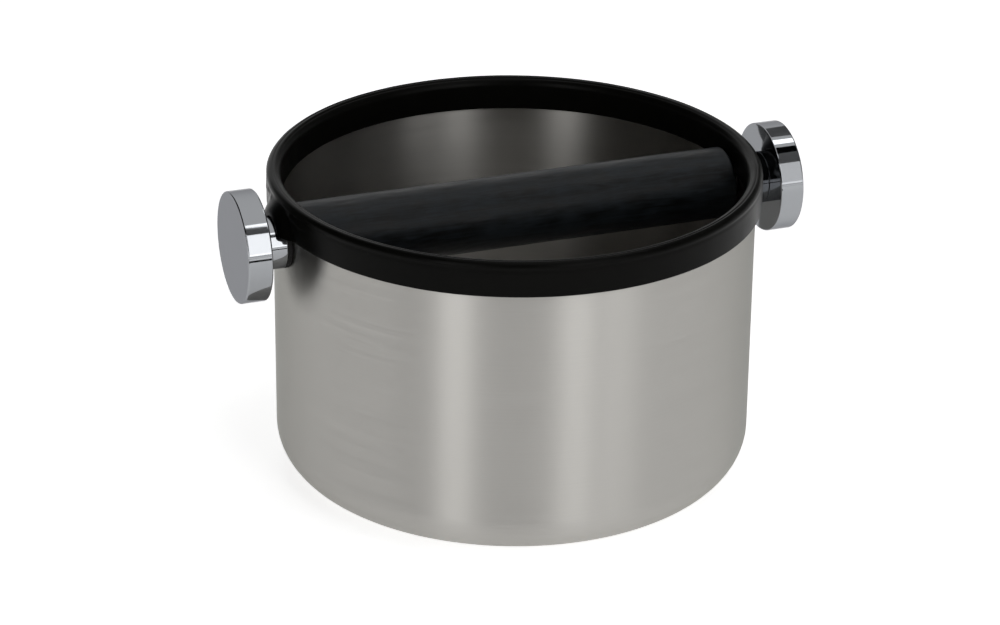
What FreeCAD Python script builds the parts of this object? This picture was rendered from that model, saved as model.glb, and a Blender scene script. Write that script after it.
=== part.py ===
"""Espresso knock box: a steel bowl, a rubber rim ring and a rubber-covered bar held by two knobs.

Millimetres, +Z up. The origin is the middle of the bowl's base. The bar lies along X, so each
side piece is drawn for the right-hand (+X) end and turned half a turn about Z for the left.
"""

import FreeCAD, Part
import math
import os

import Sketcher

Vector = FreeCAD.Vector

# Driving dimensions, each with the words that say what it is.
SIZES = [
    ("bowl_diameter", 165.0, "outside of the bowl's wall"),
    ("bowl_wall", 0.9, "sheet thickness"),
    ("bowl_rim_level", 105.0, "cut rim above the table"),
    ("bowl_corner_round", 15.0, "outside round between wall and base"),
    ("panel_diameter", 96.0, "middle of the base, pressed up"),
    ("panel_slope", 5.0, "width of the slope around the pressed panel"),
    ("panel_lift", 1.5, "how far the panel is pressed up"),
    ("panel_round", 2.0, "bend round at the foot and head of the slope"),
    ("stud_hole_clearance", 0.3, "hole in the wall, all round the stud"),
    ("ring_fit", 0.1, "rubber channel to the sheet, each side"),
    ("ring_skirt", 2.0, "thickness of the ring outside the bowl"),
    ("ring_lip", 2.2, "thickness of the ring inside the bowl"),
    ("ring_crown", 4.6, "rubber over the channel"),
    ("skirt_depth", 7.45, "skirt's edge below the channel's top"),
    ("lip_clearance", 0.4, "lip's edge above the inner washer"),
    ("ring_outer_round", 2.1, "round of the top's outer corner"),
    ("ring_inner_round", 3.1, "round of the top's inner corner"),
    ("ring_edge_round", 0.5, "round of the skirt's and lip's edges"),
    ("crease_level", 2.7, "moulded crease below the ring's top"),
    ("crease_width", 0.6, "moulded crease"),
    ("crease_depth", 0.35, "moulded crease"),
    ("hood_reach", 2.4, "hood over the collar, beyond the skirt"),
    ("hood_wall", 0.75, "rubber over the collar at the hood's mouth"),
    ("hood_spread", 16.0, "half width of the hood where it leaves the skirt"),
    ("hood_drop", 0.4, "hood's root below the ring's top"),
    ("hood_clearance", 0.35, "hood to collar"),
    ("bar_drop", 12.8, "bar's axis below the bowl's rim"),
    ("bar_diameter", 24.8, "outside of the rubber sleeve"),
    ("bar_end_gap", 3.4, "bar's end to the bowl's inside"),
    ("bar_end_chamfer", 1.0, "bevel of the sleeve's end"),
    ("tube_diameter", 18.0, "steel tube in the sleeve"),
    ("tube_wall", 2.5, "steel tube in the sleeve"),
    ("sleeve_fit", 0.05, "sleeve to tube"),
    ("plug_fit", 0.03, "plug to tube, all round"),
    ("plug_length", 20.0, "plug inside the tube"),
    ("plug_nose_diameter", 10.4, "plug's nose outside the tube"),
    ("plug_edge_chamfer", 0.5, "bevel of the plug's edges"),
    ("stud_diameter", 6.0, "thread's nominal diameter"),
    ("stud_length", 30.0, "whole stud"),
    ("stud_pitch", 1.0, "thread pitch"),
    ("thread_width", 0.8, "width of the thread's grooves"),
    ("thread_depth", 0.5, "depth of the thread's grooves"),
    ("thread_play", 0.05, "stud to tapped wall, all round"),
    ("stud_seat", 6.0, "stud's length held in the disc"),
    ("stud_seat_relief", 0.5, "depth of the disc's hole past the stud"),
    ("washer_bore_clearance", 0.2, "washers and collar round the stud"),
    ("inner_washer_diameter", 11.0, "small series steel washer"),
    ("inner_washer_thickness", 1.6, "small series steel washer"),
    ("seat_gap", 0.1, "flat washer to the curved wall"),
    ("outer_washer_thickness", 1.0, "rubber washer where it is thinnest"),
    ("washer_curve_fit", 0.05, "rubber washer to the curved wall"),
    ("collar_diameter", 18.0, "knob's collar"),
    ("collar_length", 8.05, "knob's collar"),
    ("collar_chamfer", 0.3, "bevel of the collar's edges"),
    ("disc_diameter", 38.1, "knob's disc"),
    ("disc_thickness", 8.6, "knob's disc"),
    ("disc_round", 0.5, "broken edge of the disc"),
]

# Sizes that follow from the driving dimensions.
BOWL_OUT = "(sizes.bowl_diameter / 2)"
BOWL_IN = f"({BOWL_OUT} - sizes.bowl_wall)"
CHANNEL_OUT = f"({BOWL_OUT} + sizes.ring_fit)"
CHANNEL_IN = f"({BOWL_IN} - sizes.ring_fit)"
CHANNEL_TOP = "(sizes.bowl_rim_level + sizes.ring_fit)"
RING_OUT = f"({CHANNEL_OUT} + sizes.ring_skirt)"
RING_IN = f"({CHANNEL_IN} - sizes.ring_lip)"
RING_TOP = f"({CHANNEL_TOP} + sizes.ring_crown)"
SKIRT_EDGE = f"({CHANNEL_TOP} - sizes.skirt_depth)"
STUD_CREST = "(sizes.stud_diameter / 2 - sizes.thread_play)"
STUD_HOLE = f"({STUD_CREST} + sizes.stud_hole_clearance + sizes.thread_play)"
TAPPED_WALL = "(sizes.stud_diameter / 2)"
WASHER_BORE = "(sizes.stud_diameter / 2 + sizes.washer_bore_clearance)"
COLLAR_OUT = "(sizes.collar_diameter / 2)"
BAR_LEVEL = "(sizes.bowl_rim_level - sizes.bar_drop)"
LIP_EDGE = f"({BAR_LEVEL} + sizes.inner_washer_diameter / 2 + sizes.lip_clearance)"
BAR_END = f"({BOWL_IN} - sizes.bar_end_gap)"
SEAT_INSIDE = f"(sqrt({BOWL_IN}^2 - (sizes.inner_washer_diameter / 2)^2) - sizes.seat_gap)"
NOSE_END = f"({SEAT_INSIDE} - sizes.inner_washer_thickness)"
WASHER_SEAT = f"({BOWL_OUT} + sizes.washer_curve_fit)"
COLLAR_START = f"({WASHER_SEAT} + sizes.outer_washer_thickness)"
DISC_START = f"({COLLAR_START} + sizes.collar_length)"
STUD_TIP = f"({DISC_START} + sizes.stud_seat - sizes.stud_length)"
PLUG_BODY = "(sizes.tube_diameter / 2 - sizes.tube_wall - sizes.plug_fit)"

SIDES = [("right", 0.0), ("left", 180.0)]

doc = FreeCAD.newDocument("knock_box")
sheet = doc.addObject("Spreadsheet::Sheet", "sizes")
subparts = []


def fill_sheet():
    """Write the driving dimensions into the sheet, one row each."""
    for row, (alias, value, words) in enumerate(SIZES, start=1):
        sheet.set(f"A{row}", alias.replace("_", " "))
        sheet.set(f"B{row}", str(value))
        sheet.setAlias(f"B{row}", alias)
        sheet.set(f"C{row}", words)
    doc.recompute()


def measure(expression):
    """Return the present value of an expression on the sheet."""
    return float(sheet.evalExpression(expression))


def plane(body, role):
    """Return one of a body's own origin planes."""
    return next(item for item in body.Origin.OriginFeatures if item.Role == role)


def new_body(label):
    """Add a body that becomes one sub-part."""
    body = doc.addObject("PartDesign::Body", label)
    body.Label = label
    subparts.append(body)
    return body


def new_sketch(body, name, role, offset=None):
    """Add a sketch on a body's origin plane, lifted off it by an expression if one is given."""
    sketch = body.newObject("Sketcher::SketchObject", name)
    sketch.AttachmentSupport = [(plane(body, role), "")]
    sketch.MapMode = "FlatFace"
    if offset:
        sketch.setExpression(".AttachmentOffset.Base.z", offset)
    return sketch


def place(sketch, geometry, position, across, up):
    """Hold a sketch point at signed distances across and up from the sketch's origin."""
    for kind, expression in (("DistanceX", across), ("DistanceY", up)):
        value = measure(expression)
        index = sketch.addConstraint(
            Sketcher.Constraint(kind, -1, 1, geometry, position, value))
        sketch.setExpression(f"Constraints[{index}]", expression)


def draw_outline(sketch, corners):
    """Draw a closed outline through (across, up, round) corners, all given as expressions.

    A corner with a round gets an arc that is tangent to both of its lines, and the sharp corner
    stays in the sketch as a construction point that carries the corner's two distances.
    """
    count = len(corners)
    points = [Vector(measure(across), measure(up), 0) for across, up, _ in corners]
    starts, ends, rounds = [], [], []
    for index, (_, _, radius) in enumerate(corners):
        here = points[index]
        if radius is None:
            starts.append(here)
            ends.append(here)
            rounds.append(None)
            continue
        back = (points[index - 1] - here).normalize()
        ahead = (points[(index + 1) % count] - here).normalize()
        half = math.acos(back.dot(ahead)) / 2
        size = measure(radius)
        reach = size / math.tan(half)
        centre = here + (back + ahead).normalize() * (size / math.sin(half))
        rounds.append((centre, size, (back + ahead).normalize() * -1))
        ends.append(here + back * reach)
        starts.append(here + ahead * reach)
    lines = [
        sketch.addGeometry(Part.LineSegment(starts[index], ends[(index + 1) % count]), False)
        for index in range(count)
    ]
    for index, (across, up, radius) in enumerate(corners):
        before, after = lines[index - 1], lines[index]
        if radius is None:
            sketch.addConstraint(Sketcher.Constraint("Coincident", before, 2, after, 1))
            place(sketch, after, 1, across, up)
            continue
        centre, size, outward = rounds[index]
        middle = centre + outward * size
        arc = sketch.addGeometry(Part.Arc(ends[index], middle, starts[index]), False)
        first, last = (1, 2)
        if sketch.getPoint(arc, 1).distanceToPoint(ends[index]) > size / 100:
            first, last = (2, 1)
        sketch.addConstraint(Sketcher.Constraint("Tangent", before, 2, arc, first))
        sketch.addConstraint(Sketcher.Constraint("Tangent", arc, last, after, 1))
        index_radius = sketch.addConstraint(Sketcher.Constraint("Radius", arc, size))
        sketch.setExpression(f"Constraints[{index_radius}]", radius)
        corner = sketch.addGeometry(Part.Point(points[index]), True)
        sketch.addConstraint(Sketcher.Constraint("PointOnObject", corner, 1, before))
        sketch.addConstraint(Sketcher.Constraint("PointOnObject", corner, 1, after))
        place(sketch, corner, 1, across, up)


def draw_circle(sketch, radius, up):
    """Draw a circle on the sketch's upright axis."""
    centre = Vector(0, measure(up), 0)
    circle = sketch.addGeometry(Part.Circle(centre, Vector(0, 0, 1), measure(radius)), False)
    index = sketch.addConstraint(Sketcher.Constraint("Radius", circle, measure(radius)))
    sketch.setExpression(f"Constraints[{index}]", radius)
    place(sketch, circle, 3, "0", up)


def draw_arch(sketch, half_width, radius, foot, centre_up):
    """Draw an arch: an arc on the upright axis, closed by a straight foot."""
    centre = Vector(0, measure(centre_up), 0)
    reach = Vector(measure(half_width), measure(foot), 0)
    size = measure(radius)
    left = Vector(-reach.x, reach.y, 0)
    arc = sketch.addGeometry(Part.Arc(reach, centre + Vector(0, size, 0), left), False)
    chord = sketch.addGeometry(Part.LineSegment(left, reach), False)
    sketch.addConstraint(Sketcher.Constraint("Coincident", arc, 2, chord, 1))
    sketch.addConstraint(Sketcher.Constraint("Coincident", arc, 1, chord, 2))
    place(sketch, arc, 3, "0", centre_up)
    index = sketch.addConstraint(Sketcher.Constraint("Radius", arc, size))
    sketch.setExpression(f"Constraints[{index}]", radius)
    for end in (1, 2):
        index = sketch.addConstraint(
            Sketcher.Constraint("DistanceY", -1, 1, arc, end, reach.y))
        sketch.setExpression(f"Constraints[{index}]", foot)


def revolve(body, name, corners, axis, groove=False):
    """Turn an outline on the XZ plane right round one of the sketch's axes."""
    sketch = new_sketch(body, f"{name}_outline", "XZ_Plane")
    draw_outline(sketch, corners)
    kind = "PartDesign::Groove" if groove else "PartDesign::Revolution"
    turned = body.newObject(kind, name)
    turned.Profile = sketch
    turned.ReferenceAxis = (sketch, [axis])
    turned.Angle = 360
    body.Tip = turned
    doc.recompute()
    return turned


def pocket_through(body, name, sketch):
    """Cut a sketch right through a body, both ways, and check that it took material away."""
    before = body.Shape.Volume
    cut = body.newObject("PartDesign::Pocket", name)
    cut.Profile = sketch
    cut.Type = "ThroughAll"
    cut.SideType = "Symmetric"
    body.Tip = cut
    doc.recompute()
    if body.Shape.Volume > before - 1e-3:
        raise RuntimeError(f"{name} cut nothing from {body.Label}")


def stand(body, along, angle):
    """Put a piece drawn along local X on the bar's axis, at a distance, for one side."""
    body.Placement.Rotation = FreeCAD.Rotation(Vector(0, 0, 1), angle)
    direction = "-1" if angle else "1"
    body.setExpression(".Placement.Base.x", f"{direction} * {along}")
    body.setExpression(".Placement.Base.z", BAR_LEVEL)


def build_bowl():
    """Drawn steel bowl: a wall, a round corner and a base that stands on a flat ring."""
    body = new_body("bowl")
    wall = "sizes.bowl_wall"
    slope_in = "(sizes.panel_diameter / 2)"
    slope_out = f"({slope_in} + sizes.panel_slope)"
    corner_in = f"(sizes.bowl_corner_round - {wall})"
    corners = [
        ("0", "sizes.panel_lift", None),
        (slope_in, "sizes.panel_lift", "sizes.panel_round"),
        (slope_out, "0", "sizes.panel_round"),
        (BOWL_OUT, "0", "sizes.bowl_corner_round"),
        (BOWL_OUT, "sizes.bowl_rim_level", None),
        (BOWL_IN, "sizes.bowl_rim_level", None),
        (BOWL_IN, wall, corner_in),
        (slope_out, wall, "sizes.panel_round"),
        (slope_in, f"sizes.panel_lift + {wall}", "sizes.panel_round"),
        ("0", f"sizes.panel_lift + {wall}", None),
    ]
    revolve(body, "bowl_shell", corners, "V_Axis")
    holes = new_sketch(body, "stud_holes", "YZ_Plane")
    draw_circle(holes, STUD_HOLE, BAR_LEVEL)
    pocket_through(body, "stud_hole_cut", holes)


def build_rim_ring():
    """Rubber channel over the rim, with an open-bottomed hood over each knob's collar."""
    body = new_body("rim_ring")
    crease = f"({RING_TOP} - sizes.crease_level)"
    half_crease = "sizes.crease_width / 2"
    edge = "sizes.ring_edge_round"
    corners = [
        (RING_IN, LIP_EDGE, edge),
        (CHANNEL_IN, LIP_EDGE, None),
        (CHANNEL_IN, CHANNEL_TOP, None),
        (CHANNEL_OUT, CHANNEL_TOP, None),
        (CHANNEL_OUT, SKIRT_EDGE, None),
        (RING_OUT, SKIRT_EDGE, edge),
        (RING_OUT, f"{crease} - {half_crease}", None),
        (f"{RING_OUT} - sizes.crease_depth", crease, None),
        (RING_OUT, f"{crease} + {half_crease}", None),
        (RING_OUT, RING_TOP, "sizes.ring_outer_round"),
        (RING_IN, RING_TOP, "sizes.ring_inner_round"),
    ]
    revolve(body, "channel", corners, "V_Axis")

    # The hood's root is an arch that ends on the skirt's outer face at the hood's full spread.
    root_plane = f"sqrt({RING_OUT}^2 - sizes.hood_spread^2)"
    root_rise = f"({RING_TOP} - sizes.hood_drop - {SKIRT_EDGE})"
    root_radius = f"((sizes.hood_spread^2 + {root_rise}^2) / (2 * {root_rise}))"
    root = new_sketch(body, "hood_root", "YZ_Plane", root_plane)
    draw_arch(root, "sizes.hood_spread", root_radius, SKIRT_EDGE,
              f"{SKIRT_EDGE} + {root_rise} - {root_radius}")
    mouth_bore = f"({COLLAR_OUT} + sizes.hood_clearance)"
    mouth_radius = f"({mouth_bore} + sizes.hood_wall)"
    mouth_half = f"sqrt({mouth_radius}^2 - ({SKIRT_EDGE} - {BAR_LEVEL})^2)"
    mouth = new_sketch(body, "hood_mouth", "YZ_Plane", f"{RING_OUT} + sizes.hood_reach")
    draw_arch(mouth, mouth_half, mouth_radius, SKIRT_EDGE, BAR_LEVEL)
    hood = body.newObject("PartDesign::AdditiveLoft", "hood")
    hood.Profile = root
    hood.Sections = [mouth]
    body.Tip = hood
    doc.recompute()

    # The bore for the collar starts in the channel, so that it leaves the lip whole.
    notch_sketch = new_sketch(body, "collar_notch", "YZ_Plane",
                              f"({CHANNEL_IN} + {BOWL_OUT}) / 2")
    draw_circle(notch_sketch, mouth_bore, BAR_LEVEL)
    before = body.Shape.Volume
    notch = body.newObject("PartDesign::Pocket", "notch")
    notch.Profile = notch_sketch
    notch.Type = "ThroughAll"
    notch.Reversed = True
    body.Tip = notch
    doc.recompute()
    if body.Shape.Volume > before - 1e-3:
        raise RuntimeError("the collar's notch cut nothing")
    other_side = body.newObject("PartDesign::Mirrored", "other_side")
    other_side.Originals = [hood, notch]
    other_side.MirrorPlane = (plane(body, "YZ_Plane"), [""])
    body.Tip = other_side
    doc.recompute()


def build_bar():
    """Steel tube in a thick rubber sleeve, both centred on the bowl's axis."""
    tube_out = "(sizes.tube_diameter / 2)"
    sleeve_in = f"({tube_out} + sizes.sleeve_fit)"
    sleeve_out = "(sizes.bar_diameter / 2)"
    bevel = "sizes.bar_end_chamfer"
    sleeve = new_body("bar_sleeve")
    revolve(sleeve, "sleeve", [
        (f"-{BAR_END}", sleeve_in, None),
        (BAR_END, sleeve_in, None),
        (BAR_END, f"{sleeve_out} - {bevel}", None),
        (f"{BAR_END} - {bevel}", sleeve_out, None),
        (f"-{BAR_END} + {bevel}", sleeve_out, None),
        (f"-{BAR_END}", f"{sleeve_out} - {bevel}", None),
    ], "H_Axis")
    stand(sleeve, "0", 0.0)
    tube = new_body("bar_tube")
    revolve(tube, "tube", [
        (f"-{BAR_END}", f"{tube_out} - sizes.tube_wall", None),
        (BAR_END, f"{tube_out} - sizes.tube_wall", None),
        (BAR_END, tube_out, None),
        (f"-{BAR_END}", tube_out, None),
    ], "H_Axis")
    stand(tube, "0", 0.0)


def build_end_plug(side, angle):
    """Tapped plug in the tube's end. Its nose reaches past the bar to the inner washer."""
    plug = new_body(f"bar_end_plug_{side}")
    nose = f"({NOSE_END} - {BAR_END})"
    bevel = "sizes.plug_edge_chamfer"
    nose_out = "(sizes.plug_nose_diameter / 2)"
    revolve(plug, f"plug_{side}", [
        ("-sizes.plug_length", TAPPED_WALL, None),
        (nose, TAPPED_WALL, None),
        (nose, nose_out, None),
        ("0", nose_out, None),
        ("0", PLUG_BODY, None),
        (f"-sizes.plug_length + {bevel}", PLUG_BODY, None),
        ("-sizes.plug_length", f"{PLUG_BODY} - {bevel}", None),
    ], "H_Axis")
    stand(plug, BAR_END, angle)


def build_inner_washer(side, angle):
    """Flat steel washer between the plug's nose and the bowl's wall."""
    washer = new_body(f"inner_washer_{side}")
    revolve(washer, f"flat_washer_{side}", [
        ("0", WASHER_BORE, None),
        ("sizes.inner_washer_thickness", WASHER_BORE, None),
        ("sizes.inner_washer_thickness", "sizes.inner_washer_diameter / 2", None),
        ("0", "sizes.inner_washer_diameter / 2", None),
    ], "H_Axis")
    stand(washer, NOSE_END, angle)


def cylinder(name, radius, height, along=None):
    """Add a cylinder: upright on the origin, or lying along X from a distance on the bar's axis."""
    solid = doc.addObject("Part::Cylinder", name)
    solid.setExpression("Radius", radius)
    solid.setExpression("Height", height)
    if along:
        solid.Placement.Rotation = FreeCAD.Rotation(Vector(0, 1, 0), 90)
        solid.setExpression(".Placement.Base.x", along)
        solid.setExpression(".Placement.Base.z", BAR_LEVEL)
    return solid


def cut(name, base, tool):
    """Take one solid from another."""
    result = doc.addObject("Part::Cut", name)
    result.Base = base
    result.Tool = tool
    return result


def build_outer_washer(side, angle):
    """Rubber washer, flat on the collar's side and curved to the bowl on the other."""
    start = CHANNEL_IN
    thickness = f"{COLLAR_START} - {start}"
    blank = cylinder(f"washer_blank_{side}", COLLAR_OUT, thickness, start)
    bore = cylinder(f"washer_bore_{side}", WASHER_BORE, thickness, start)
    bowl_side = cylinder(f"washer_bowl_side_{side}", WASHER_SEAT, f"2 * {BAR_LEVEL}")
    ring = cut(f"washer_ring_{side}", blank, bore)
    washer = cut(f"outer_washer_{side}", ring, bowl_side)
    washer.Label = f"outer_washer_{side}"
    washer.Placement.Rotation = FreeCAD.Rotation(Vector(0, 0, 1), angle)
    subparts.append(washer)


def build_knob(side, angle):
    """Disc, collar and stud that turn as one."""
    disc = new_body(f"knob_disc_{side}")
    disc_out = "(sizes.disc_diameter / 2)"
    hole_depth = "(sizes.stud_seat + sizes.stud_seat_relief)"
    revolve(disc, f"disc_{side}", [
        (hole_depth, "0", None),
        (hole_depth, TAPPED_WALL, None),
        ("0", TAPPED_WALL, None),
        ("0", disc_out, "sizes.disc_round"),
        ("sizes.disc_thickness", disc_out, "sizes.disc_round"),
        ("sizes.disc_thickness", "0", None),
    ], "H_Axis")
    stand(disc, DISC_START, angle)

    collar = new_body(f"knob_collar_{side}")
    bevel = "sizes.collar_chamfer"
    revolve(collar, f"collar_{side}", [
        ("0", WASHER_BORE, None),
        ("sizes.collar_length", WASHER_BORE, None),
        ("sizes.collar_length", f"{COLLAR_OUT} - {bevel}", None),
        (f"sizes.collar_length - {bevel}", COLLAR_OUT, None),
        (bevel, COLLAR_OUT, None),
        ("0", f"{COLLAR_OUT} - {bevel}", None),
    ], "H_Axis")
    stand(collar, COLLAR_START, angle)

    # The thread is cut as a row of V grooves one pitch apart.
    stud = new_body(f"knob_stud_{side}")
    point = "sizes.thread_depth"
    revolve(stud, f"rod_{side}", [
        ("0", "0", None),
        ("sizes.stud_length", "0", None),
        ("sizes.stud_length", f"{STUD_CREST} - {point}", None),
        (f"sizes.stud_length - {point}", STUD_CREST, None),
        (point, STUD_CREST, None),
        ("0", f"{STUD_CREST} - {point}", None),
    ], "H_Axis")
    half_groove = "(sizes.thread_width / 2)"
    first = "sizes.stud_pitch"
    clear = f"({STUD_CREST} + sizes.thread_play)"
    groove = revolve(stud, f"groove_{side}", [
        (f"{first} - {half_groove}", clear, None),
        (first, f"{STUD_CREST} - sizes.thread_depth", None),
        (f"{first} + {half_groove}", clear, None),
    ], "H_Axis", groove=True)
    thread = stud.newObject("PartDesign::LinearPattern", f"thread_{side}")
    thread.Originals = [groove]
    thread.Direction = (groove.Profile[0], ["H_Axis"])
    grooves = "floor(sizes.stud_length / sizes.stud_pitch) - 1"
    thread.setExpression("Occurrences", grooves)
    thread.setExpression("Length", f"({grooves} - 1) * sizes.stud_pitch")
    stud.Tip = thread
    stand(stud, STUD_TIP, angle)


def check_and_export():
    """Stop on any failed object, then write each sub-part to a file of its own."""
    doc.recompute()
    for item in doc.Objects:
        if "Invalid" in item.State or "Error" in item.State:
            raise RuntimeError(f"{item.Label} is {item.State}")
    os.makedirs("parts", exist_ok=True)
    for piece in subparts:
        shape = piece.Shape
        if shape.isNull() or not shape.isValid() or not shape.Solids:
            raise RuntimeError(f"{piece.Label} has no valid solid")
    for piece in subparts:
        piece.Shape.exportStep(f"parts/{piece.Label}.step")
        print(f"{piece.Label}: {len(piece.Shape.Solids)} solid, {piece.Shape.Volume:.1f} mm3")


fill_sheet()
build_bowl()
build_rim_ring()
build_bar()
for side_name, side_angle in SIDES:
    build_end_plug(side_name, side_angle)
    build_inner_washer(side_name, side_angle)
    build_outer_washer(side_name, side_angle)
    build_knob(side_name, side_angle)
check_and_export()
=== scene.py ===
"""Looks of the espresso knock box: its finishes, its modelled pieces and the studio around it.

Everything is in metres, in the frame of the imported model: +Z up, the bar along X, the bowl's base
on the floor at Z 0. Fields of the pieces are in millimetres, and MM turns them to metres.
"""

import logging
import math
from dataclasses import dataclass, field
from enum import Enum

import bmesh
import bpy
from mathutils import Matrix, Vector, noise


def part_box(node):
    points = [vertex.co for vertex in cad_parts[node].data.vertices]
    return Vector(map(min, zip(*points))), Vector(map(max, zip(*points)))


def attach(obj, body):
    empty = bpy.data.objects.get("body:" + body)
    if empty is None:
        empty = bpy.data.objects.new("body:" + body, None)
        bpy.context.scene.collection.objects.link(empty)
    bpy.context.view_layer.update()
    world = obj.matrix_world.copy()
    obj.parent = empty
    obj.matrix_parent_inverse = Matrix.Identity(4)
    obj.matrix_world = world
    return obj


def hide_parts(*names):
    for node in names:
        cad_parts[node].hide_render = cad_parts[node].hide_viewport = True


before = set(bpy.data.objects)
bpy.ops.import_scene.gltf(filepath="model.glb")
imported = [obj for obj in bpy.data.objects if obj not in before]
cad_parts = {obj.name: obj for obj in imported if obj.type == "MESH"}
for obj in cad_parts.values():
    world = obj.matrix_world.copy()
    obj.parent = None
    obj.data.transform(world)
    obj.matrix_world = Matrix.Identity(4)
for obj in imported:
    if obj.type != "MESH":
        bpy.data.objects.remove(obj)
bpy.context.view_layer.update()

MM = 0.001
LOG = logging.getLogger("knock_box")
SHARP_ANGLE = 40.0  # degrees; edges that turn by more stay sharp
WELD_DISTANCE = 1e-7  # metres
PLAIN_STEPS = 96  # faces round a turned piece that is mostly hidden


class Slot(Enum):
    """Material slots of the record."""

    BRUSHED_STEEL = "brushed_steel"
    RING_RUBBER = "ring_rubber"
    SLEEVE_RUBBER = "sleeve_rubber"
    WASHER_RUBBER = "washer_rubber"
    CHROME = "chrome"
    PLAIN_STEEL = "plain_steel"


class Axis(Enum):
    """Axis that a piece was turned, brushed or drawn about."""

    X = "X"
    Z = "Z"


class Side(Enum):
    """End of the bar, with the way its distances run along X."""

    RIGHT = 1
    LEFT = -1

    @property
    def word(self) -> str:
        """The side's word in the names of nodes, bodies and pieces."""
        return self.name.lower()


def linear(hex_colour: str) -> tuple[float, float, float, float]:
    """Turn an sRGB hex colour into the linear values that the shaders take.

    Args:
        hex_colour: the colour as "#RRGGBB".

    Returns:
        Red, green, blue and an alpha of 1.
    """
    parts = [int(hex_colour[i : i + 2], 16) / 255 for i in (1, 3, 5)]
    red, green, blue = (p / 12.92 if p <= 0.04045 else ((p + 0.055) / 1.055) ** 2.4 for p in parts)
    return (red, green, blue, 1.0)


def add_node(tree: bpy.types.NodeTree, kind: str, settings: dict | None = None,
             inputs: dict | None = None) -> bpy.types.Node:
    """Add a shader node, set its properties, and fill or link its inputs.

    Args:
        tree: the node tree.
        kind: the node's type name, without the leading "ShaderNode".
        settings: property name to value.
        inputs: input name or index to a value, or to the output socket that feeds it.

    Returns:
        The new node.
    """
    node = tree.nodes.new("ShaderNode" + kind)
    for name, value in (settings or {}).items():
        setattr(node, name, value)
    for name, value in (inputs or {}).items():
        if isinstance(value, bpy.types.NodeSocket):
            tree.links.new(value, node.inputs[name])
        else:
            node.inputs[name].default_value = value
    return node


def blank_material(name: str) -> tuple[bpy.types.Material, bpy.types.NodeTree]:
    """Make a material with an empty node tree.

    Args:
        name: the material's name.

    Returns:
        The material and its tree.
    """
    material = bpy.data.materials.new(name)
    material.use_nodes = True
    material.node_tree.nodes.clear()
    return material, material.node_tree


def add_object(name: str, data: bpy.types.ID) -> bpy.types.Object:
    """Put a new object into the scene.

    Args:
        name: the object's name.
        data: its mesh, lamp or camera.

    Returns:
        The object.
    """
    made = bpy.data.objects.new(name, data)
    bpy.context.scene.collection.objects.link(made)
    return made


def round_coordinates(tree: bpy.types.NodeTree, axis: Axis, radius: float,
                      along: float, across: float) -> bpy.types.NodeSocket:
    """Wrap coordinates round an axis, so that a noise runs round it in long thin marks.

    Args:
        tree: the node tree.
        axis: the axis the marks run round.
        radius: radius at which the marks have their stated length, in metres.
        along: length of a mark round the axis, in metres.
        across: width of a mark, in metres.

    Returns:
        The vector to feed a noise of scale 1.
    """
    here = add_node(tree, "TexCoord").outputs["Object"]
    parts = add_node(tree, "SeparateXYZ", inputs={"Vector": here}).outputs
    first, second, axial = (parts["Y"], parts["Z"], parts["X"]) if axis is Axis.X else (
        parts["X"], parts["Y"], parts["Z"])
    angle = add_node(tree, "Math", {"operation": "ARCTAN2"}, {0: second, 1: first}).outputs[0]
    square = add_node(tree, "Math", {"operation": "MULTIPLY"}, {0: first, 1: first}).outputs[0]
    total = add_node(tree, "Math", {"operation": "MULTIPLY_ADD"},
                     {0: second, 1: second, 2: square}).outputs[0]
    reach = add_node(tree, "Math", {"operation": "SQRT"}, {0: total}).outputs[0]
    wrapped = add_node(tree, "CombineXYZ", inputs={"X": angle, "Y": axial, "Z": reach}).outputs[0]
    scale = (radius / along, 1 / across, 1 / across)
    return add_node(tree, "VectorMath", {"operation": "MULTIPLY"},
                    {0: wrapped, 1: scale}).outputs[0]


@dataclass(frozen=True)
class BrushedSteel:
    """Stainless sheet, drawn and then brushed round on a lathe.

    The eye gets a soft upright band under each light and a warm grey between them.
    """

    name: str = "brushed_stainless_steel"
    colour: str = "#B8B6B2"
    dark_mark: str = "#ACAAA6"
    edge_tint: str = "#C2C3C1"
    roughness: float = 0.40
    roughness_swing: float = 0.05
    anisotropy: float = 0.93
    round_the_bowl: float = 0.25
    # Grit 180 leaves scratches of about 0.1 mm; they are drawn 0.25 mm wide so that they show.
    scratch_width: float = 0.25 * MM
    scratch_length: float = 60 * MM
    scratch_depth: float = 0.02 * MM
    brushed_radius: float = 82 * MM

    def material(self) -> bpy.types.Material:
        """Build the steel.

        Returns:
            The material.
        """
        material, tree = blank_material(self.name)
        where = round_coordinates(tree, Axis.Z, self.brushed_radius, self.scratch_length,
                                  self.scratch_width)
        scratches = add_node(tree, "TexNoise", inputs={
            "Vector": where, "Scale": 1.0, "Detail": 2.0, "Roughness": 0.6}).outputs["Fac"]
        colour = add_node(tree, "Mix", {"data_type": "RGBA"}, {
            0: scratches, 6: linear(self.dark_mark), 7: linear(self.colour)}).outputs[2]
        rough = add_node(tree, "MapRange", inputs={
            "Value": scratches, "From Min": 0.3, "From Max": 0.7,
            "To Min": self.roughness - self.roughness_swing,
            "To Max": self.roughness + self.roughness_swing}).outputs[0]
        relief = add_node(tree, "Bump", inputs={
            "Strength": 0.12, "Distance": self.scratch_depth, "Height": scratches}).outputs[0]
        tangent = add_node(tree, "Tangent", {"direction_type": "RADIAL", "axis": "Z"}).outputs[0]
        shader = add_node(tree, "BsdfPrincipled", inputs={
            "Base Color": colour, "Metallic": 1.0, "Roughness": rough, "Normal": relief,
            "Anisotropic": self.anisotropy, "Anisotropic Rotation": self.round_the_bowl,
            "Tangent": tangent, "Specular Tint": linear(self.edge_tint)})
        add_node(tree, "OutputMaterial", inputs={"Surface": shader.outputs[0]})
        return material


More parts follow.
